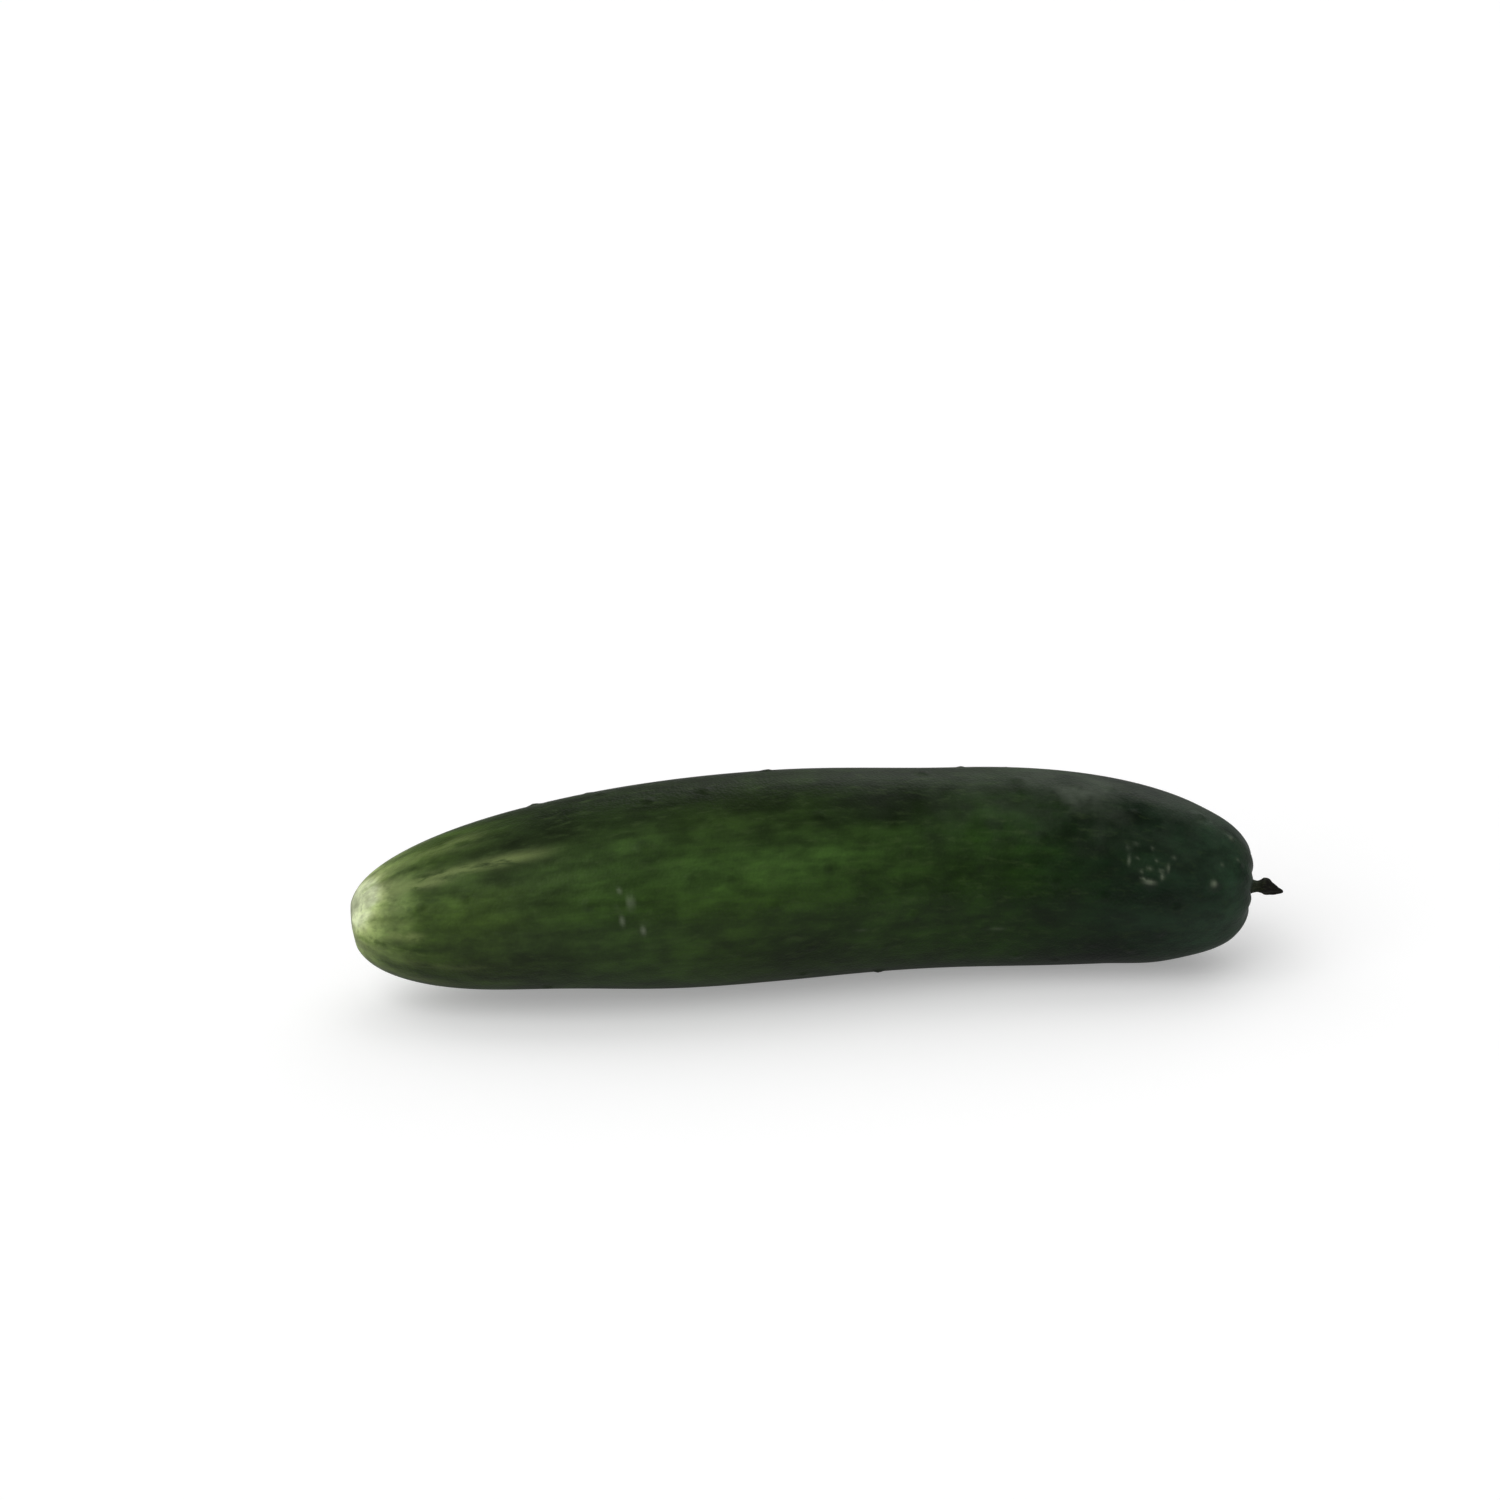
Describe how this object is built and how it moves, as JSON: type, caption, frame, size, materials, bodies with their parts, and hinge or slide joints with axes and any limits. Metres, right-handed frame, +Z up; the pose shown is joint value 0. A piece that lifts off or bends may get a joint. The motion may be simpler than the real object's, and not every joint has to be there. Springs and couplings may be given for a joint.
{
  "type": "cucumber",
  "caption": "Whole slicing cucumber, gently bowed, with a pale blossom end and a dried stem stub, lying on its belly.",
  "frame": {"origin": "bottom centre of the whole cucumber's box, on the surface that it lies on", "axes": "+X along the fruit from the blossom end to the stem end, +Y the side that it bows to, +Z up"},
  "size_m": [0.2177, 0.0545, 0.0486],
  "materials": {
    "cucumber_skin": "waxy skin, mottled green, pale yellow-green at the blossom end, blue-green at the stem end",
    "dry_stem": "dried plant stem, grey-green going to dark brown"
  },
  "bodies": {
    "root": {"fruit": "cucumber_skin", "stem": "dry_stem"}
  },
  "joints": []
}
